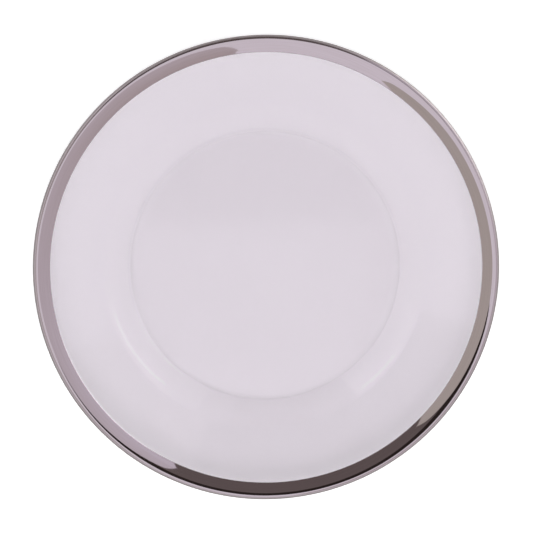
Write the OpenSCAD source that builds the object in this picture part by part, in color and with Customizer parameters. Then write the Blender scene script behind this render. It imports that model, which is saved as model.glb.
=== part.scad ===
// Round dinner plate of clear pressed glass, with a mirror-bright metal band fired on round its lip.
// The plate stands on the XY plane, centred on Z. The wall is one thickness from the well to the lip,
// so its two faces are drawn from the same centres, as a chain of arcs that run into each other.

/* [Plate] */
// Diameter over the lip
plate_d = 280; // [250:1:330]
// Height from the table to the top of the lip
plate_h = 21; // [18:0.5:30]
// Thickness of the glass
glass_t = 4; // [3:0.1:5]

/* [Well] */
// Diameter of the crease round the well's floor
well_d = 162; // [130:1:180]
// Radius that softens the crease, on the upper face
crease_r = 3; // [1:0.5:6]

/* [Shoulder and rim] */
// Angle at which the wall rises from the crease
wall_angle = 30; // [20:1:36]
// Radius of the shoulder between wall and rim, on the upper face
shoulder_r = 70; // [40:1:90]
// Radius at which the rim rolls over towards the lip, on the upper face
roll_r = 45; // [25:1:70]
// Slope that the rim still has where the lip begins
lip_tilt = 2; // [0:0.5:5]

/* [Foot] */
// Width of the flat face that the plate rests on
foot_w = 4; // [2:0.5:10]
// Depth of the hollow in the base, inside the flat face
foot_h = 0.5; // [0.3:0.1:2]
// Run of the slope from the flat face up to the middle of the base
foot_run = 24; // [5:1:40]

/* [Band] */
// Width of the metal band, seen from above
band_w = 10.4; // [5:0.1:20]
// How far the band carries on under the lip
band_return = 2; // [0.5:0.5:5]
// Thickness of the metal film, which is let into the glass
film_t = 0.3; // [0.2:0.05:0.6]

/* [Hidden] */
$fn = 180;

// How far an arc's chords may stray from it
chord_sag = 0.01;

// Levels and radii that the chain of arcs starts and ends at
plate_r = plate_d / 2;
lip_r = glass_t / 2;
well_z = foot_h + glass_t;
crease_start_r = well_d / 2 - crease_r * tan(wall_angle / 2);

// Arc centres of the crease, the shoulder, the lip and the roll
crease_c = [crease_start_r, well_z + crease_r];
shoulder_c = on_arc(crease_c, -crease_r, wall_angle) - on_arc([0, 0], shoulder_r, wall_angle);
lip_c = [plate_r - lip_r, plate_h - lip_r];
roll_c = on_arc(lip_c, lip_r - roll_r, lip_tilt);

// The rim is the line that touches both the shoulder and the roll
span = roll_c - shoulder_c;
rim_slope = atan2(span.y, span.x) - asin((shoulder_r - roll_r) / norm(span));
roll_start = on_arc(roll_c, roll_r, rim_slope);

// Where the band begins on the upper face and ends on the lower one
band_r = plate_r - band_w;
band_on_rim = band_r < roll_start.x;
band_slope = band_on_rim ? rim_slope : asin((roll_c.x - band_r) / roll_r);
return_slope = lip_tilt + band_return / (roll_r - glass_t) * 180 / PI;

// Arc of the heel, which runs from the wall's lower face into the flat face of the foot
wall_end = on_arc(crease_c, -crease_r - glass_t, wall_angle);
heel_r = wall_end.y / (1 - cos(wall_angle));
heel_c = on_arc(wall_end, heel_r, wall_angle);
foot_inner_r = heel_c.x - foot_w;

// The point of a round face where it has the given slope. A hollow face has a negative radius.
function on_arc(centre, radius, slope) = centre + radius * [-sin(slope), cos(slope)];

// The points of a round face between two slopes, without the first, which the stretch before it ends on
function arc(centre, radius, from, to) =
    let (
        chord_angle = 2 * acos(1 - chord_sag / abs(radius)),
        steps = ceil(abs(to - from) / chord_angle)
    )
    [for (i = [1 : steps]) on_arc(centre, radius, from + (to - from) * i / steps)];

// The point of the straight rim at a radius, at a depth under its upper face
function on_rim(radius, depth) =
    on_arc(roll_start - (roll_start.x - radius) * [1, tan(rim_slope)], -depth, rim_slope);

// The points at one end of the band, at a depth under the outside of the plate
function band_start(depth) =
    band_on_rim
        ? [on_rim(band_r, depth), on_arc(roll_c, roll_r - depth, rim_slope)]
        : [on_arc(roll_c, roll_r - depth, band_slope)];

// The whole run of the band over the lip, at a depth under the outside of the plate
function band_face(depth) = concat(
    band_start(depth),
    arc(roll_c, roll_r - depth, band_slope, lip_tilt),
    arc(lip_c, lip_r - depth, lip_tilt, lip_tilt - 180),
    arc(roll_c, roll_r - glass_t + depth, lip_tilt, return_slope)
);

// The upper face from the middle of the well out to the band
function upper_face() = concat(
    [[0, well_z], [crease_start_r, well_z]],
    arc(crease_c, -crease_r, 0, wall_angle),
    arc(shoulder_c, shoulder_r, wall_angle, rim_slope),
    band_on_rim
        ? [on_rim(band_r, 0)]
        : concat([roll_start], arc(roll_c, roll_r, rim_slope, band_slope))
);

// The lower face from the end of the band, round the heel, in to the flat face of the foot
function lower_face() = concat(
    [on_arc(roll_c, roll_r - glass_t, return_slope)],
    arc(roll_c, roll_r - glass_t, return_slope, rim_slope),
    [on_arc(shoulder_c, shoulder_r - glass_t, rim_slope)],
    arc(shoulder_c, shoulder_r - glass_t, rim_slope, wall_angle),
    arc(heel_c, -heel_r, wall_angle, 0)
);

// The flat face that the plate rests on and the hollow base inside it
function foot_face() = [
    [foot_inner_r, 0],
    [foot_inner_r - foot_run, foot_h],
    [0, foot_h]
];

function reversed(points) = [for (i = [len(points) - 1 : -1 : 0]) points[i]];

// Pressed glass plate, set back under the band by the thickness of the film
module glass_plate() {
    color("lavender", 0.5)
        rotate_extrude()
            polygon(concat(upper_face(), band_face(film_t), lower_face(), foot_face()));
}

// Metal film that wraps the rolled rim and the lip, flush with the glass beside it
module metal_band() {
    color("silver")
        rotate_extrude()
            polygon(concat(band_face(0), reversed(band_face(film_t))));
}

glass_plate();
metal_band();
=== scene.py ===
"""Clear glass dinner plate with a fired metal band, turned finely and dressed for its picture.

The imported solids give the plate's outside sizes. Both pieces are turned again here from the same section,
in the fine steps that clear glass and a mirror finish need, and each then gets its own finish.
"""

import logging
import math
from collections.abc import Sequence
from dataclasses import dataclass
from enum import Enum
from functools import cached_property
from itertools import pairwise

import bpy
from mathutils import Euler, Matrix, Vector

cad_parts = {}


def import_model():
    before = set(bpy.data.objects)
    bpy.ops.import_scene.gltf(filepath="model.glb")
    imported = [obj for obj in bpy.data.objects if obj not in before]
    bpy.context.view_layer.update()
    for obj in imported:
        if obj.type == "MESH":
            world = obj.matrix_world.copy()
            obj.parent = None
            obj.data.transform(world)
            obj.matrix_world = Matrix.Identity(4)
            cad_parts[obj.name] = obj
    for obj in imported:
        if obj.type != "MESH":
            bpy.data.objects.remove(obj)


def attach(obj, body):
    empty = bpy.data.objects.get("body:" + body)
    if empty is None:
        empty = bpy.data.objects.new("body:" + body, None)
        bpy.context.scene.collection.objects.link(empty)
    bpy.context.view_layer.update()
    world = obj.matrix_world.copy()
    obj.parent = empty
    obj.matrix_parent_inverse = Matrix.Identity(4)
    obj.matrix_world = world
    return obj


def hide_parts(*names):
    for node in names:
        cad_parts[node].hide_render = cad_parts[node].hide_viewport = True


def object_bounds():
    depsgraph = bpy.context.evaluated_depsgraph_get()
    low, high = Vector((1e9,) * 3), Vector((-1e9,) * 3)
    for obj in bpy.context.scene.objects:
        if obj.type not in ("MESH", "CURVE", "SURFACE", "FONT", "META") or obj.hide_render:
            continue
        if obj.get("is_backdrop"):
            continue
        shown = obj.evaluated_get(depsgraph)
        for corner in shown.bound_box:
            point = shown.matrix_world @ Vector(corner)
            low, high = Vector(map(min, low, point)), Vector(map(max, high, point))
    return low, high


log = logging.getLogger("plate")

MM = 0.001
PHOTO_PX = 533
ORIGIN = (0.0, 0.0, 0.0)
UP = (0.0, 0.0, 1.0)
SEEN_FROM_ABOVE = (1.0, 1.0, 0.0)
WHITE = (1.0, 1.0, 1.0)
WAVE_DETAIL = 1.0
HAZE_DETAIL = 3.0
HAZE_RANGE = (0.45, 0.75)

Colour = tuple[float, float, float]
Span = tuple[float, float]
Corner = tuple[float, float, float]
Outline = Sequence[tuple[float, float]]
Socket = bpy.types.NodeSocket


def on_arc(centre: Vector, radius: float, slope: float) -> Vector:
    """Find the point of a round face that has a given slope.

    Args:
        centre: Centre of the arc, as distance from the axis and height.
        radius: Radius of the arc, negative where the face is hollow.
        slope: Slope of the face at the point, in radians.

    Returns:
        The point, as distance from the axis and height.
    """
    return centre + radius * Vector((-math.sin(slope), math.cos(slope)))


def arc(centre: Vector, radius: float, start: float, end: float, pitch: float) -> list[Vector]:
    """Step along a round face between two slopes, leaving out the first point.

    Args:
        centre: Centre of the arc.
        radius: Radius of the arc, negative where the face is hollow.
        start: Slope that the stretch begins with, in radians.
        end: Slope that the stretch ends with, in radians.
        pitch: Longest step along the face.

    Returns:
        The points after the first.
    """
    steps = math.ceil(abs(radius * (end - start)) / pitch)
    return [on_arc(centre, radius, start + (end - start) * i / steps) for i in range(1, steps + 1)]


def line(start: Vector, end: Vector, pitch: float) -> list[Vector]:
    """Step along a straight face, leaving out the first point.

    Args:
        start: Where the stretch begins.
        end: Where the stretch ends.
        pitch: Longest step along the face.

    Returns:
        The points after the first.
    """
    steps = math.ceil((end - start).length / pitch)
    return [start.lerp(end, i / steps) for i in range(1, steps + 1)]


def trace(name: str, corners: Sequence[Corner]) -> bpy.types.Object:
    """Draw a chain of edges by extruding one vertex along it.

    Args:
        name: Name of the new object.
        corners: Corners of the chain.

    Returns:
        The new object, left in edit mode.
    """
    bpy.ops.object.select_all(action="DESELECT")
    bpy.ops.mesh.primitive_plane_add(size=MM)
    drawn = bpy.context.object
    drawn.name = name
    drawn.data.name = name
    bpy.ops.object.mode_set(mode="EDIT")
    bpy.ops.mesh.merge(type="CENTER")
    bpy.ops.transform.translate(value=corners[0])
    for here, there in pairwise(corners):
        step = tuple(end - start for start, end in zip(here, there))
        bpy.ops.mesh.extrude_region_move(TRANSFORM_OT_translate={"value": step})
    return drawn


@dataclass(frozen=True)
class PlateSection:
    """Half section of the plate, as arcs about centres that the upper and lower faces share.

    Lengths are in metres and angles in radians. A depth is measured inwards from the outside of the plate.
    """

    plate_r: float
    plate_h: float
    glass_t: float = 4.0 * MM
    well_r: float = 81.0 * MM
    crease_r: float = 3.0 * MM
    wall_angle: float = math.radians(30.0)
    shoulder_r: float = 70.0 * MM
    roll_r: float = 45.0 * MM
    lip_tilt: float = math.radians(2.0)
    foot_w: float = 4.0 * MM
    foot_h: float = 0.5 * MM
    foot_run: float = 24.0 * MM
    band_w: float = 10.4 * MM
    band_return: float = 2.0 * MM
    fine: float = 0.35 * MM
    medium: float = 1.0 * MM
    coarse: float = 5.0 * MM

    @cached_property
    def lip_r(self) -> float:
        """Radius of the rounded lip."""
        return self.glass_t / 2

    @cached_property
    def under_roll_r(self) -> float:
        """Radius of the roll on the lower face."""
        return self.roll_r - self.glass_t

    @cached_property
    def under_shoulder_r(self) -> float:
        """Radius of the shoulder on the lower face."""
        return self.shoulder_r - self.glass_t

    @cached_property
    def well_z(self) -> float:
        """Height of the well's floor."""
        return self.foot_h + self.glass_t

    @cached_property
    def crease_c(self) -> Vector:
        """Arc centre of the crease."""
        start_r = self.well_r - self.crease_r * math.tan(self.wall_angle / 2)
        return Vector((start_r, self.well_z + self.crease_r))

    @cached_property
    def heel_c(self) -> Vector:
        """Arc centre of the heel, which runs from the wall into the flat face of the foot."""
        wall_end = on_arc(self.crease_c, -self.crease_r - self.glass_t, self.wall_angle)
        heel_r = wall_end.y / (1 - math.cos(self.wall_angle))
        return on_arc(wall_end, heel_r, self.wall_angle)

    @cached_property
    def shoulder_c(self) -> Vector:
        """Arc centre of the shoulder."""
        wall_start = on_arc(self.crease_c, -self.crease_r, self.wall_angle)
        return on_arc(wall_start, -self.shoulder_r, self.wall_angle)

    @cached_property
    def lip_c(self) -> Vector:
        """Arc centre of the lip."""
        return Vector((self.plate_r - self.lip_r, self.plate_h - self.lip_r))

    @cached_property
    def roll_c(self) -> Vector:
        """Arc centre of the roll that leads to the lip."""
        return on_arc(self.lip_c, self.lip_r - self.roll_r, self.lip_tilt)

    @cached_property
    def rim_slope(self) -> float:
        """Slope of the straight rim, which touches both the shoulder and the roll."""
        span = self.roll_c - self.shoulder_c
        return math.atan2(span.y, span.x) - math.asin((self.shoulder_r - self.roll_r) / span.length)

    @cached_property
    def band_slope(self) -> float:
        """Slope of the roll where the band begins."""
        return math.asin((self.roll_c.x - self.plate_r + self.band_w) / self.roll_r)

    @cached_property
    def return_slope(self) -> float:
        """Slope of the lower face where the band ends."""
        return self.lip_tilt + self.band_return / self.under_roll_r

    def upper_face(self) -> list[Vector]:
        """Give the upper face from the axis out to the lip.

        Returns:
            Points from the middle of the well to the start of the lip.
        """
        middle = Vector((0.0, self.well_z))
        crease_start = on_arc(self.crease_c, -self.crease_r, 0.0)
        shoulder = arc(self.shoulder_c, self.shoulder_r, self.wall_angle, self.rim_slope, self.medium)
        roll_start = on_arc(self.roll_c, self.roll_r, self.rim_slope)
        return [
            middle,
            *line(middle, crease_start, self.coarse),
            *arc(self.crease_c, -self.crease_r, 0.0, self.wall_angle, self.fine / 2),
            *shoulder,
            *line(shoulder[-1], roll_start, self.medium),
            *arc(self.roll_c, self.roll_r, self.rim_slope, self.lip_tilt, self.medium),
        ]

    def lower_face(self) -> list[Vector]:
        """Give the lower face from the end of the lip in to the axis.

        Returns:
            Points from under the lip, round the heel and over the foot's flat face to the base's middle.
        """
        roll = arc(self.roll_c, self.under_roll_r, self.lip_tilt, self.rim_slope, self.medium)
        rim_end = on_arc(self.shoulder_c, self.under_shoulder_r, self.rim_slope)
        foot_inner, base_edge = self.foot_corners()
        middle = Vector((0.0, self.foot_h))
        return [
            *roll,
            *line(roll[-1], rim_end, self.medium),
            *arc(self.shoulder_c, self.under_shoulder_r, self.rim_slope, self.wall_angle, self.medium),
            *arc(self.heel_c, -self.heel_c.y, self.wall_angle, 0.0, self.fine),
            foot_inner,
            base_edge,
            *line(base_edge, middle, self.coarse),
        ]

    def foot_corners(self) -> tuple[Vector, Vector]:
        """Give the inner edge of the foot's flat face and the edge of the base inside it."""
        inner_r = self.heel_c.x - self.foot_w
        return Vector((inner_r, 0.0)), Vector((inner_r - self.foot_run, self.foot_h))

    def lip(self, depth: float = 0.0) -> list[Vector]:
        """Give the rounded lip, from the upper face to the lower, at a depth under the outside."""
        return arc(self.lip_c, self.lip_r - depth, self.lip_tilt, self.lip_tilt - math.pi, self.fine / 2)

    def band_face(self, depth: float) -> list[Vector]:
        """Give the run of the band over the lip.

        Args:
            depth: Depth under the outside of the plate, negative where the face stands proud of it.

        Returns:
            Points from the band's edge on the upper face to its end under the lip.
        """
        upper_r = self.roll_r - depth
        lower_r = self.under_roll_r + depth
        return [
            on_arc(self.roll_c, upper_r, self.band_slope),
            *arc(self.roll_c, upper_r, self.band_slope, self.lip_tilt, self.fine),
            *self.lip(depth),
            *arc(self.roll_c, lower_r, self.lip_tilt, self.return_slope, self.fine),
        ]


class Shader:
    """A shader node tree, with short calls to add and join its nodes."""

    def __init__(self, tree: bpy.types.NodeTree) -> None:
        """Empty the tree of a material, a world or a group, and start on it."""
        self.tree = tree
        tree.nodes.clear()

    def add(self, kind: str, sockets: dict | None = None, **settings: object) -> bpy.types.Node:
        """Add one node.

        Args:
            kind: Blender's name for the type of node.
            sockets: Values or output sockets for its inputs, by name or number.
            settings: Properties to set on the node.

        Returns:
            The new node.
        """
        node = self.tree.nodes.new(kind)
        for key, value in settings.items():
            setattr(node, key, value)
        for key, value in (sockets or {}).items():
            if isinstance(value, Socket):
                self.tree.links.new(value, node.inputs[key])
            else:
                node.inputs[key].default_value = value
        return node

    def math(self, operation: str, *values: object) -> Socket:
        """Add a Math node and return its result."""
        return self.add("ShaderNodeMath", dict(enumerate(values)), operation=operation).outputs[0]

    def vector(self, operation: str, *values: object) -> Socket:
        """Add a Vector Math node and return the vector that it gives."""
        node = self.add("ShaderNodeVectorMath", dict(enumerate(values)), operation=operation)
        return node.outputs["Vector"]

    def measure(self, operation: str, *values: object) -> Socket:
        """Add a Vector Math node and return the number that it gives."""
        node = self.add("ShaderNodeVectorMath", dict(enumerate(values)), operation=operation)
        return node.outputs["Value"]

    def spread(self, value: Socket, low: float, high: float, to: Span = (0.0, 1.0)) -> Socket:
        """Stretch a value smoothly, so that low and high give both ends of a new range."""
        sockets = {"Value": value, "From Min": low, "From Max": high, "To Min": to[0], "To Max": to[1]}
        return self.add("ShaderNodeMapRange", sockets, interpolation_type="SMOOTHSTEP").outputs["Result"]

    def mix(self, share: Socket, first: object, second: object) -> Socket:
        """Mix two numbers, by the share that the second has."""
        sockets = {"Factor": share, "A": first, "B": second}
        return self.add("ShaderNodeMix", sockets, data_type="FLOAT").outputs["Result"]

    def blend(self, share: Socket, first: object, second: object) -> Socket:
        """Mix two colours, by the share that the second has."""
        sockets = {"Factor": share, "A": first, "B": second}
        return self.add("ShaderNodeMix", sockets, data_type="RGBA").outputs["Result"]

    def noise(self, vector: Socket, scale: object, detail: float) -> Socket:
        """Add a Noise Texture node and return its value."""
        sockets = {"Vector": vector, "Scale": scale, "Detail": detail}
        return self.add("ShaderNodeTexNoise", sockets).outputs["Fac"]

    def bump(self, height: Socket, distance: float, under: Socket | None = None) -> Socket:
        """Raise a surface.

        Args:
            height: Where the surface is raised, from 0 to 1.
            distance: How far a height of 1 is raised, in metres.
            under: Direction of the surface that is raised, if it has been raised before.

        Returns:
            Direction of the raised surface.
        """
        sockets = {"Strength": 1.0, "Distance": distance, "Height": height}
        if under is not None:
            sockets["Normal"] = under
        return self.add("ShaderNodeBump", sockets).outputs["Normal"]

    def place(self) -> Socket:
        """Give the point on the piece, in metres."""
        return self.add("ShaderNodeTexCoord").outputs["Object"]

    def flat_place(self) -> Socket:
        """Give the point on the piece as seen from above, in metres."""
        return self.vector("MULTIPLY", self.place(), SEEN_FROM_ABOVE)

    def lighting_rays(self) -> Socket:
        """Give 1 for rays that gather light for the table, also through the glass."""
        return self.math("MINIMUM", self.add("ShaderNodeLightPath").outputs["Diffuse Depth"], 1.0)

    def mirrored_rays(self) -> Socket:
        """Give 1 for rays that the band or a face of the glass has mirrored."""
        mirrored = self.math("MINIMUM", self.add("ShaderNodeLightPath").outputs["Glossy Depth"], 1.0)
        return self.math("SUBTRACT", mirrored, self.math("MINIMUM", mirrored, self.lighting_rays()))

    def shown_rays(self) -> Socket:
        """Give 1 for rays that show the background, straight from the camera or through glass."""
        path = self.add("ShaderNodeLightPath").outputs
        shown = self.math("MAXIMUM", path["Is Camera Ray"], path["Is Transmission Ray"])
        return self.math("SUBTRACT", shown, self.math("MINIMUM", shown, self.lighting_rays()))


def new_material(name: str) -> tuple[bpy.types.Material, Shader]:
    """Start a material.

    Args:
        name: Name of the material.

    Returns:
        The material and its empty node tree.
    """
    made = bpy.data.materials.new(name)
    made.use_nodes = True
    return made, Shader(made.node_tree)


def opaque(colour: Colour) -> tuple[float, float, float, float]:
    """Give a colour with full opacity, as sockets take it."""
    return (*colour, 1.0)


class Effect(Enum):
    """Effects that both finishes use, each one a node group."""

    PRESSED_WAVES = "pressed_waves"
    HANDLING_HAZE = "handling_haze"

    def add_to(self, shader: Shader, scale: float) -> Socket:
        """Add the effect to a finish, at a scale, and return its value."""
        return shader.add("ShaderNodeGroup", {"Scale": scale}, node_tree=self.group()).outputs["Value"]

    def group(self) -> bpy.types.NodeTree:
        """Give the effect's node group, built on the first call."""
        found = bpy.data.node_groups.get(self.value)
        if found:
            return found
        tree = bpy.data.node_groups.new(self.value, "ShaderNodeTree")
        tree.interface.new_socket("Scale", in_out="INPUT", socket_type="NodeSocketFloat")
        tree.interface.new_socket("Value", in_out="OUTPUT", socket_type="NodeSocketFloat")
        shader = Shader(tree)
        scale = shader.add("NodeGroupInput").outputs["Scale"]
        build = self._waves if self is Effect.PRESSED_WAVES else self._haze
        shader.add("NodeGroupOutput", {"Value": build(shader, scale)})
        return tree

    @staticmethod
    def _waves(shader: Shader, scale: Socket) -> Socket:
        """Lay the long low waves that the mould leaves in pressed glass."""
        return shader.noise(shader.place(), scale, WAVE_DETAIL)

    @staticmethod
    def _haze(shader: Shader, scale: Socket) -> Socket:
        """Lay the faint patches that hands and cloths leave."""
        patches = shader.noise(shader.place(), scale, HAZE_DETAIL)
        return shader.spread(patches, *HAZE_RANGE)


@dataclass(frozen=True)
class ClearGlass:
    """Fire-polished clear glass with a faint lilac cast, satin under the base where it meets the table."""

    name: str = "clear_glass"
    tint: Colour = (0.928, 0.882, 0.935)
    ior: float = 1.52
    polish: float = 0.04
    haze_roughness: float = 0.03
    base_roughness: float = 0.3
    base_height: float = 1.2 * MM
    haze_scale: float = 45.0
    wave_scale: float = 16.0
    wave_height: float = 0.06 * MM

    def material(self) -> bpy.types.Material:
        """Build the glass.

        Returns:
            A material with tinted clear transmission, low waves and a light haze.
        """
        made, shader = new_material(self.name)
        haze = Effect.HANDLING_HAZE.add_to(shader, self.haze_scale)
        waves = Effect.PRESSED_WAVES.add_to(shader, self.wave_scale)
        height = shader.add("ShaderNodeSeparateXYZ", {0: shader.place()}).outputs["Z"]
        satin = shader.spread(height, self.base_height / 2, self.base_height, (self.base_roughness, 0.0))
        hazed = shader.math("MULTIPLY_ADD", haze, self.haze_roughness, self.polish)
        surface = shader.add(
            "ShaderNodeBsdfPrincipled",
            {
                "Base Color": opaque(self.tint),
                "Metallic": 0.0,
                "Roughness": shader.math("MAXIMUM", hazed, satin),
                "IOR": self.ior,
                "Transmission Weight": 1.0,
                "Normal": shader.bump(waves, self.wave_height),
            },
        )
        shader.add("ShaderNodeOutputMaterial", {"Surface": surface.outputs["BSDF"]})
        return made


@dataclass(frozen=True)
class PlatinumFilm:
    """Mirror-bright metal film, brushed on as the plate turns, darker and rougher at the edge of the lip.
    """

    name: str = "platinum_film"
    thin: Colour = (0.640, 0.585, 0.615)
    thick: Colour = (0.615, 0.560, 0.585)
    # darker metal colour mixed in towards the lip's outer edge
    outer_lip_dark: Colour = (0.475, 0.42, 0.428)
    polish: float = 0.012
    stroke_roughness: float = 0.014
    haze_roughness: float = 0.014
    outer_lip_roughness: float = 0.35
    outer_lip_start: float = 1.9 * MM
    outer_lip_full: float = 0.9 * MM
    stroke_w: float = 0.35 * MM
    strokes_round: float = 5.0
    stroke_detail: float = 2.0
    stroke_tones: Span = (0.3, 0.7)
    stroke_height: float = 0.00012 * MM
    haze_scale: float = 70.0
    wave_scale: float = 16.0
    wave_height: float = 0.06 * MM

    def strokes(self, shader: Shader) -> Socket:
        """Lay fine strokes round the axis.

        Args:
            shader: Tree to add the nodes to.

        Returns:
            A value that changes quickly across the band and slowly along it.
        """
        place = shader.flat_place()
        along = shader.vector("MULTIPLY", shader.vector("NORMALIZE", place), (self.strokes_round,) * 3)
        strokes_out = shader.math("DIVIDE", shader.measure("LENGTH", place), self.stroke_w)
        across = shader.add("ShaderNodeCombineXYZ", {"Z": strokes_out}).outputs["Vector"]
        return shader.noise(shader.vector("ADD", along, across), 1.0, self.stroke_detail)

    def material(self, lip_edge_r: float) -> bpy.types.Material:
        """Build the film.

        Args:
            lip_edge_r: Distance of the lip's outermost edge from the axis, where the film turns darker and
                rougher.

        Returns:
            A metal with fine strokes, slight changes of tone and a darker, rougher edge.
        """
        made, shader = new_material(self.name)
        strokes = self.strokes(shader)
        haze = Effect.HANDLING_HAZE.add_to(shader, self.haze_scale)
        waves = Effect.PRESSED_WAVES.add_to(shader, self.wave_scale)
        thickness = shader.spread(strokes, *self.stroke_tones)
        tone = shader.blend(thickness, opaque(self.thin), opaque(self.thick))
        reach = shader.measure("LENGTH", shader.flat_place())
        # mask that rises towards the lip's outer edge, where the film is made darker and rougher
        outer_lip_mask = shader.spread(reach, lip_edge_r - self.outer_lip_start, lip_edge_r - self.outer_lip_full)
        stroked = shader.math("MULTIPLY_ADD", strokes, self.stroke_roughness, self.polish)
        hazed = shader.math("MULTIPLY_ADD", haze, self.haze_roughness, stroked)
        waved = shader.bump(waves, self.wave_height)
        surface = shader.add(
            "ShaderNodeBsdfPrincipled",
            {
                "Base Color": shader.blend(outer_lip_mask, tone, opaque(self.outer_lip_dark)),
                "Metallic": 1.0,
                "Roughness": shader.math("MULTIPLY_ADD", outer_lip_mask, self.outer_lip_roughness, hazed),
                "Normal": shader.bump(strokes, self.stroke_height, waved),
            },
        )
        shader.add("ShaderNodeOutputMaterial", {"Surface": surface.outputs["BSDF"]})
        return made


@dataclass
class TurnedPiece:
    """A piece turned on the plate's axis: its section is drawn point by point and then spun."""

    name: str
    section: PlateSection
    node: str
    slot: str
    segments: int = 288
    merge_gap: float = 0.0005 * MM

    def draw(self, points: Sequence[Vector], closed: bool) -> bpy.types.Object:
        """Draw the section in the XZ plane.

        Args:
            points: Corners of the section, as distance from the axis and height.
            closed: Whether the last corner joins the first.

        Returns:
            The new object, left in edit mode with its whole section selected.
        """
        piece = trace(self.name, [(point.x, 0.0, point.y) for point in points])
        if closed:
            self.join_ends(piece, len(points))
        bpy.ops.mesh.select_all(action="SELECT")
        return piece

    def join_ends(self, piece: bpy.types.Object, count: int) -> None:
        """Close the section with an edge from its last corner to its first.

        Args:
            piece: Object in edit mode that holds the section.
            count: How many corners the section has.
        """
        bpy.ops.mesh.select_all(action="DESELECT")
        bpy.ops.object.mode_set(mode="OBJECT")
        for index in (0, count - 1):
            piece.data.vertices[index].select = True
        bpy.ops.object.mode_set(mode="EDIT")
        bpy.ops.mesh.edge_face_add()

    def soften(self, piece: bpy.types.Object, corners: Sequence[Vector], radius: float, steps: int) -> None:
        """Round some corners of the section.

        Args:
            piece: Object in edit mode that holds the section.
            corners: The corners to round.
            radius: How far along both sides each rounding reaches.
            steps: How many edges each rounding has.
        """
        bpy.ops.mesh.select_all(action="DESELECT")
        bpy.ops.object.mode_set(mode="OBJECT")
        for vertex in piece.data.vertices:
            here = Vector((vertex.co.x, vertex.co.z))
            vertex.select = any((here - corner).length < self.merge_gap for corner in corners)
        bpy.ops.object.mode_set(mode="EDIT")
        bpy.ops.mesh.bevel(offset=radius, affect="VERTICES", segments=steps)
        bpy.ops.mesh.select_all(action="SELECT")

    def spin(self, piece: bpy.types.Object) -> None:
        """Turn the selected section round the axis and close the surface.

        Args:
            piece: Object in edit mode with its section selected. It is left in object mode.
        """
        bpy.ops.mesh.spin(steps=self.segments, angle=math.tau, center=ORIGIN, axis=UP)
        bpy.ops.mesh.select_all(action="SELECT")
        bpy.ops.mesh.remove_doubles(threshold=self.merge_gap)
        bpy.ops.mesh.normals_make_consistent(inside=False)
        bpy.ops.object.mode_set(mode="OBJECT")
        bpy.ops.object.shade_smooth()
        log.info("%s: %d faces", piece.name, len(piece.data.polygons))

    def dress(self, piece: bpy.types.Object, material: bpy.types.Material) -> None:
        """Give the piece its finish and put it in the place of its solid.

        Args:
            piece: The finished mesh.
            material: Its finish.
        """
        piece.data.materials.clear()
        piece.data.materials.append(material)
        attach(piece, "root")
        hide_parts(self.node)


@dataclass
class GlassPlate(TurnedPiece):
    """The pressed plate: well, shoulder, rim, lip and foot in one piece of glass."""

    foot_softness: float = 0.2 * MM
    foot_steps: int = 4

    def build(self) -> bpy.types.Object:
        """Turn the plate.

        Returns:
            The plate's mesh object.
        """
        section = self.section
        outline = [*section.upper_face(), *section.lip(), *section.lower_face()]
        plate = self.draw(outline, closed=False)
        self.soften(plate, section.foot_corners(), self.foot_softness, self.foot_steps)
        self.spin(plate)
        return plate


@dataclass
class MetalBand(TurnedPiece):
    """The fired film: a thin skin on the rolled rim that wraps the lip."""

    skin: float = 0.02 * MM

    def build(self) -> bpy.types.Object:
        """Turn the band.

        Returns:
            The band's mesh object, proud of the glass by one skin and sunk in it by another.
        """
        outside = self.section.band_face(-self.skin)
        inside = self.section.band_face(self.skin)
        band = self.draw([*outside, *reversed(inside)], closed=True)
        self.spin(band)
        return band


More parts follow.
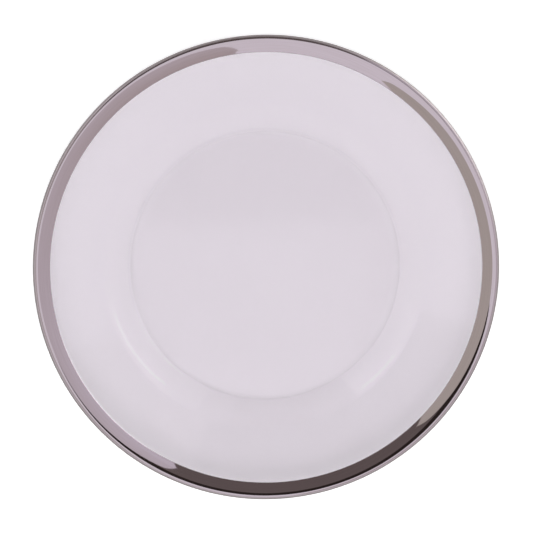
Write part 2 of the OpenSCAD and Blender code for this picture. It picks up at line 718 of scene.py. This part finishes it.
@dataclass(frozen=True)
class Card:
    """A plain board hung over the table, which only the plate's reflections show."""

    name: str
    outline: Outline
    height: float
    near: Colour
    far: Colour | None = None
    fade: Span = (0.0, 1.0)

    def paint(self) -> bpy.types.Material:
        """Mix the board's paint, which glows evenly and lights nothing but reflections.

        Returns:
            A glow that fades from the near colour to the far one between two lines, if it has two.
        """
        made, shader = new_material(self.name)
        colour = opaque(self.near)
        if self.far:
            along = shader.add("ShaderNodeSeparateXYZ", {0: shader.place()}).outputs["Y"]
            colour = shader.blend(shader.spread(along, *self.fade), colour, opaque(self.far))
        glow = shader.add("ShaderNodeEmission", {"Color": colour, "Strength": 1.0})
        clear = shader.add("ShaderNodeBsdfTransparent")
        sockets = {0: shader.mirrored_rays(), 1: clear.outputs["BSDF"], 2: glow.outputs["Emission"]}
        seen = shader.add("ShaderNodeMixShader", sockets)
        shader.add("ShaderNodeOutputMaterial", {"Surface": seen.outputs["Shader"]})
        return made

    def hang(self, shift: float) -> None:
        """Cut the board to its outline and hang it level.

        Args:
            shift: How far the board hangs to the right of its outline.
        """
        board = trace(self.name, [(x + shift, y, self.height) for x, y in self.outline])
        bpy.ops.mesh.select_all(action="SELECT")
        bpy.ops.mesh.edge_face_add()
        bpy.ops.object.mode_set(mode="OBJECT")
        board.data.materials.append(self.paint())
        board.visible_camera = False
        board.visible_diffuse = False
        board.visible_shadow = False
        board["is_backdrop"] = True


@dataclass(frozen=True)
class Ceiling:
    """Boards that the plate mirrors, each layer of them under the last.

    The shoulder mirrors the outermost boards, the rim the ring inside them, and the band what is inside the
    ring. Spans are in degrees clockwise from the far side, about the middle of what the round rim mirrors.
    """

    height: float = 9.0
    layer: float = 0.02
    room: float = 16.0
    mirror_y: float = -1.05
    band_reach: float = 3.9
    rim_reach: float = 4.95
    shoulder_reach: float = 5.8
    far_reach: float = 20.0
    arc_step: float = 10.0
    all_round: Span = (0.0, 350.0)
    far_fair: Span = (36.0, 85.0)
    far_dusk: Span = (-34.0, 26.0)
    far_dark: Span = (-22.0, 14.0)
    rim_dusk: Span = (0.0, 66.0)
    rim_night: Span = (-72.0, 20.0)
    bright_half: Span = (85.0, 275.0)
    dark_half: Span = (-85.0, 85.0)
    slot_reach: float = 2.5
    slot_edges: Span = (-0.72, -0.15)
    left_span: Span = (-142.0, -45.0)
    left_edge: Outline = (
        (-1.6, 0.83), (-1.13, 0.22), (-0.81, -0.35),
        (-0.81, -1.4), (-0.95, -2.3), (-1.29, -3.05), (-2.14, -3.9),
    )
    right_span: Span = (26.0, 170.0)
    right_edge: Outline = (
        (0.6, -4.6), (0.34, -3.3), (0.19, -1.8), (0.25, -1.15),
        (0.34, -0.6), (0.48, 0.1), (0.96, 1.25), (1.55, 2.3),
    )
    right_fade: Span = (-7.5, 6.9)
    pale: Colour = (0.76, 0.72, 0.765)
    outer_ring: Colour = (0.655, 0.617, 0.66)
    ring: Colour = (0.54, 0.506, 0.545)
    bright: Colour = (0.835, 0.79, 0.84)
    fair: Colour = (0.86, 0.815, 0.86)
    dusk: Colour = (0.36, 0.33, 0.34)
    night: Colour = (0.07, 0.06, 0.06)
    dark: Colour = (0.15, 0.122, 0.118)
    slot: Colour = (0.03, 0.022, 0.02)
    left_grey: Colour = (0.52, 0.475, 0.435)
    right_grey: Colour = (0.47, 0.395, 0.375)
    right_lilac: Colour = (0.80, 0.755, 0.86)

    def level(self, step: int) -> float:
        """Give the height of a layer, counted down from the ceiling."""
        return self.height - self.layer * step

    def rounded(self, reach: float, span: Span) -> list[tuple[float, float]]:
        """Draw an arc about the middle of what the round rim mirrors.

        Args:
            reach: Radius of the arc.
            span: Angles that the arc begins and ends at.

        Returns:
            Corners along the arc.
        """
        start, end = span
        steps = math.ceil(abs(end - start) / self.arc_step)
        turns = [math.radians(start + (end - start) * i / steps) for i in range(steps + 1)]
        return [(reach * math.sin(turn), self.mirror_y + reach * math.cos(turn)) for turn in turns]

    def wedge(self, reach: float, span: Span) -> list[tuple[float, float]]:
        """Draw a slice of a disc about the middle of what the round rim mirrors, its point first."""
        return [(0.0, self.mirror_y), *self.rounded(reach, span)]

    @staticmethod
    def rectangle(half_width: float, edges: Span) -> Outline:
        """Draw a board that reaches as far to each side, between its near and its far edge."""
        near, far = edges
        return (-half_width, near), (half_width, near), (half_width, far), (-half_width, far)

    def boards(self) -> tuple[Card, ...]:
        """Lay out the boards, from the ceiling down.

        Returns:
            The boards. A lower one hides what is over it.
        """
        band, rim, far, level = self.band_reach, self.rim_reach, self.far_reach, self.level
        whole = self.rectangle(self.room, (-self.room, self.room))
        outer_ring = self.rounded(self.shoulder_reach, self.all_round)
        slot = self.rectangle(self.slot_reach, self.slot_edges)
        left = (*self.rounded(band, self.left_span), *self.left_edge)
        right = (*self.rounded(band, self.right_span), *self.right_edge)
        return (
            Card("pale_ceiling", whole, level(0), self.pale),
            Card("outer_ring", outer_ring, level(1), self.outer_ring),
            Card("far_fair", self.wedge(far, self.far_fair), level(2), self.fair),
            Card("far_dusk", self.wedge(far, self.far_dusk), level(3), self.dusk),
            Card("far_dark", self.wedge(far, self.far_dark), level(4), self.dark),
            Card("rim_ring", self.rounded(rim, self.all_round), level(5), self.ring),
            Card("rim_dusk", self.wedge(rim, self.rim_dusk), level(6), self.dusk),
            Card("rim_night", self.wedge(rim, self.rim_night), level(7), self.night),
            Card("bright_panel", self.rounded(band, self.bright_half), level(8), self.bright),
            Card("dark_panel", self.rounded(band, self.dark_half), level(8), self.dark),
            Card("black_slot", slot, level(9), self.slot),
            Card("left_board", left, level(10), self.left_grey),
            Card("right_board", right, level(10), self.right_grey, self.right_lilac, self.right_fade),
        )

    def hang(self, lean: float) -> None:
        """Hang the boards where a camera with this lean finds them mirrored."""
        for board in self.boards():
            board.hang(self.height * math.tan(lean))


class Side(Enum):
    """Sides of the table, as the photograph shows them."""

    LEFT = -1
    RIGHT = 1


@dataclass(frozen=True)
class Lamp:
    """A flat lamp hung level over one far corner of the table."""

    side: Side
    turn: float
    reach: float
    size: tuple[float, float]
    radiance: float
    height: float = 3.0

    def hang(self, lean: float) -> None:
        """Hang the lamp where a leaning camera finds it mirrored.

        Args:
            lean: Lean of the camera, in radians.
        """
        lamp = bpy.data.lights.new(f"lamp_{self.side.name.lower()}", "AREA")
        lamp.shape = "RECTANGLE"
        lamp.size, lamp.size_y = self.size
        lamp.energy = self.radiance * math.pi * lamp.size * lamp.size_y
        hung = bpy.data.objects.new(lamp.name, lamp)
        bpy.context.scene.collection.objects.link(hung)
        turn = self.side.value * self.turn
        shift = self.height * math.tan(lean)
        hung.location = (self.reach * math.sin(turn) + shift, self.reach * math.cos(turn), self.height)
        hung.rotation_euler = (0.0, 0.0, -turn)
        hung.visible_camera = False


@dataclass(frozen=True)
class Table:
    """Table top that is white to the eye and dimmed only by the plate's shadow."""

    size: float = 9.0
    albedo: float = 0.8
    drop: float = 0.05 * MM
    lift: float = 0.36
    clear_lift: float = 0.22

    def paint(self) -> bpy.types.Material:
        """Mix the table's paint.

        Returns:
            A matt white, lifted where the camera sees it and clear from below.
        """
        made, shader = new_material("pale_table")
        lit = shader.add("ShaderNodeBsdfDiffuse", {"Color": opaque((self.albedo,) * 3)})
        path = shader.add("ShaderNodeLightPath").outputs
        through = shader.math("MULTIPLY", shader.shown_rays(), self.lift)
        lifted = shader.math("MULTIPLY_ADD", path["Is Camera Ray"], self.clear_lift, through)
        lift = shader.add("ShaderNodeEmission", {"Color": opaque(WHITE), "Strength": lifted})
        both = shader.add("ShaderNodeAddShader", {0: lit.outputs["BSDF"], 1: lift.outputs["Emission"]})
        behind = shader.add("ShaderNodeNewGeometry").outputs["Backfacing"]
        clear = shader.add("ShaderNodeBsdfTransparent")
        sockets = {0: behind, 1: both.outputs["Shader"], 2: clear.outputs["BSDF"]}
        one_way = shader.add("ShaderNodeMixShader", sockets)
        shader.add("ShaderNodeOutputMaterial", {"Surface": one_way.outputs["Shader"]})
        return made

    def lay(self) -> None:
        """Lay the table top just under the plate."""
        bpy.ops.object.select_all(action="DESELECT")
        bpy.ops.mesh.primitive_plane_add(size=self.size, location=(0.0, 0.0, -self.drop))
        table = bpy.context.object
        table.name = "table_top"
        table.data.materials.append(self.paint())
        table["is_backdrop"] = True


@dataclass(frozen=True)
class Room:
    """Soft light from all round and a key in front, in a room that shows white behind the plate.

    What the plate mirrors of it is darker at the horizon, as a studio's walls are, apart from one window.
    """

    horizon_light: float = 0.27
    zenith_light: float = 0.395
    side_light: float = 0.5
    back_light: float = 0.5
    box_light: float = 1.0
    box_spread: float = 0.5
    box_foot: float = 0.12
    box_head: float = 0.48
    box_edge: float = 0.02
    key_light: float = 4.5
    key_tilt: float = math.radians(16.0)
    key_focus: float = 18.0
    gleam: Span = (0.13, 1.0)
    gleam_foot: float = 0.05
    gleam_head: float = 0.45
    window_gleam: float = 3.0
    window_turn: float = math.radians(58.0)
    window_edge: Span = (0.90, 0.95)

    def build(self) -> None:
        """Put the room round the table."""
        world = bpy.data.worlds.new("studio")
        bpy.context.scene.world = world
        world.use_nodes = True
        shader = Shader(world.node_tree)
        toward = shader.add("ShaderNodeTexCoord").outputs["Generated"]
        along = shader.add("ShaderNodeSeparateXYZ", {0: toward}).outputs
        soft = self.soft(shader, along)
        lit = shader.math("MULTIPLY_ADD", self.key(shader, toward), self.key_light, soft)
        light = shader.math("MULTIPLY_ADD", self.side_boxes(shader, along), self.box_light, lit)
        plain = shader.mix(shader.shown_rays(), light, 1.0)
        strength = shader.mix(shader.mirrored_rays(), plain, self.walls(shader, toward, along))
        background = shader.add("ShaderNodeBackground", {"Color": opaque(WHITE), "Strength": strength})
        shader.add("ShaderNodeOutputWorld", {"Surface": background.outputs["Background"]})

    def soft(self, shader: Shader, along: bpy.types.bpy_prop_collection) -> Socket:
        """Spread soft light over the room, more of it overhead, at both sides and at the back.

        Args:
            shader: Tree to add the nodes to.
            along: Parts of the direction into the room, by axis.

        Returns:
            The strength of the soft light.
        """
        gain = self.zenith_light - self.horizon_light
        rise = shader.math("MULTIPLY_ADD", along["Z"], gain, self.horizon_light)
        sides = shader.math("MULTIPLY", along["X"], along["X"])
        ends = shader.math("MULTIPLY", along["Y"], along["Y"])
        across = shader.math("MULTIPLY_ADD", shader.math("SUBTRACT", sides, ends), self.side_light, 1.0)
        turned = shader.math("MULTIPLY_ADD", along["Y"], self.back_light, across)
        return shader.math("MAXIMUM", shader.math("MULTIPLY", rise, turned), 0.0)

    def key(self, shader: Shader, toward: Socket) -> Socket:
        """Place the key light overhead, a little to the front.

        Args:
            shader: Tree to add the nodes to.
            toward: Direction into the room.

        Returns:
            A value that is 1 in the middle of the key and falls off round it.
        """
        way = (0.0, -math.sin(self.key_tilt), math.cos(self.key_tilt))
        facing = shader.measure("DOT_PRODUCT", toward, way)
        return shader.math("POWER", shader.math("MAXIMUM", facing, 0.0), self.key_focus)

    def side_boxes(self, shader: Shader, along: bpy.types.bpy_prop_collection) -> Socket:
        """Place a soft box on each side of the room, low over the table.

        Args:
            shader: Tree to add the nodes to.
            along: Parts of the direction into the room, by axis.

        Returns:
            A value that is 1 on the boxes and 0 beside them.
        """
        edge = self.box_edge
        out = shader.math("ABSOLUTE", along["X"])
        beside = shader.spread(out, self.box_spread - edge, self.box_spread + edge)
        over = shader.spread(along["Z"], self.box_foot - edge, self.box_foot + edge)
        under = shader.spread(along["Z"], self.box_head - edge, self.box_head + edge, (1.0, 0.0))
        return shader.math("MULTIPLY", beside, shader.math("MULTIPLY", over, under))

    def walls(self, shader: Shader, toward: Socket, along: bpy.types.bpy_prop_collection) -> Socket:
        """Show the walls to the plate's reflections, with a bright window at the far right.

        Args:
            shader: Tree to add the nodes to.
            toward: Direction into the room.
            along: Its parts, by axis.

        Returns:
            The strength that is mirrored.
        """
        gleam = shader.spread(along["Z"], self.gleam_foot, self.gleam_head, self.gleam)
        way = (math.sin(self.window_turn), math.cos(self.window_turn), 0.0)
        window = shader.spread(shader.measure("DOT_PRODUCT", toward, way), *self.window_edge)
        return shader.math("MULTIPLY_ADD", window, self.window_gleam, gleam)


@dataclass(frozen=True)
class View:
    """Camera that looks down on the plate from a little past its far side and to the left."""

    distance: float = 2.2
    tilt: float = math.radians(5.5)
    lean: float = math.radians(2.7)
    aim_x: float = -0.1 * MM
    aim_y: float = 1.1 * MM
    plate_px: float = 466.9
    sensor: float = 36.0

    def build(self, section: PlateSection) -> None:
        """Set up the camera.

        Args:
            section: Section of the plate, which sets how wide the picture is.
        """
        lens = bpy.data.cameras.new("camera")
        seen_width = 2 * section.plate_r * PHOTO_PX / self.plate_px
        lens.sensor_width = self.sensor
        lens.lens = self.sensor * self.distance / seen_width
        camera = bpy.data.objects.new("camera", lens)
        bpy.context.scene.collection.objects.link(camera)
        aim = Vector((self.aim_x, self.aim_y, section.lip_c.y))
        turn = Euler((-self.tilt, -self.lean, 0.0))
        camera.location = aim + turn.to_matrix() @ Vector((0.0, 0.0, self.distance))
        camera.rotation_euler = turn
        bpy.context.scene.camera = camera


@dataclass(frozen=True)
class Studio:
    """Table, room, boards, lamps and camera for the plate's picture."""

    table: Table = Table()
    room: Room = Room()
    ceiling: Ceiling = Ceiling()
    lamps: tuple[Lamp, ...] = (
        Lamp(Side.RIGHT, turn=math.radians(66.0), reach=1.81, size=(1.15, 0.16), radiance=1.2),
        Lamp(Side.LEFT, turn=math.radians(54.0), reach=1.74, size=(0.6, 0.24), radiance=0.65),
    )
    view: View = View()

    def build(self, section: PlateSection) -> None:
        """Set up the whole studio.

        Args:
            section: Section of the plate that is pictured.
        """
        bpy.context.scene.view_settings.view_transform = "Standard"
        self.table.lay()
        self.room.build()
        self.ceiling.hang(self.view.lean)
        for lamp in self.lamps:
            lamp.hang(self.view.lean)
        self.view.build(section)


def main() -> None:
    """Build the plate on its frame, dress it and set up the studio."""
    logging.basicConfig(level=logging.INFO, format="%(name)s: %(message)s")
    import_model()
    cad_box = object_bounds()
    _, top = cad_box
    section = PlateSection(plate_r=top.x, plate_h=top.z)
    plate = GlassPlate("plate_glass", section, node="glass_plate", slot="clear_glass")
    plate.dress(plate.build(), ClearGlass().material())
    band = MetalBand("rim_band", section, node="metal_band", slot="platinum_film")
    band.dress(band.build(), PlatinumFilm().material(section.plate_r))
    Studio().build(section)


if __name__ == "__main__":
    main()
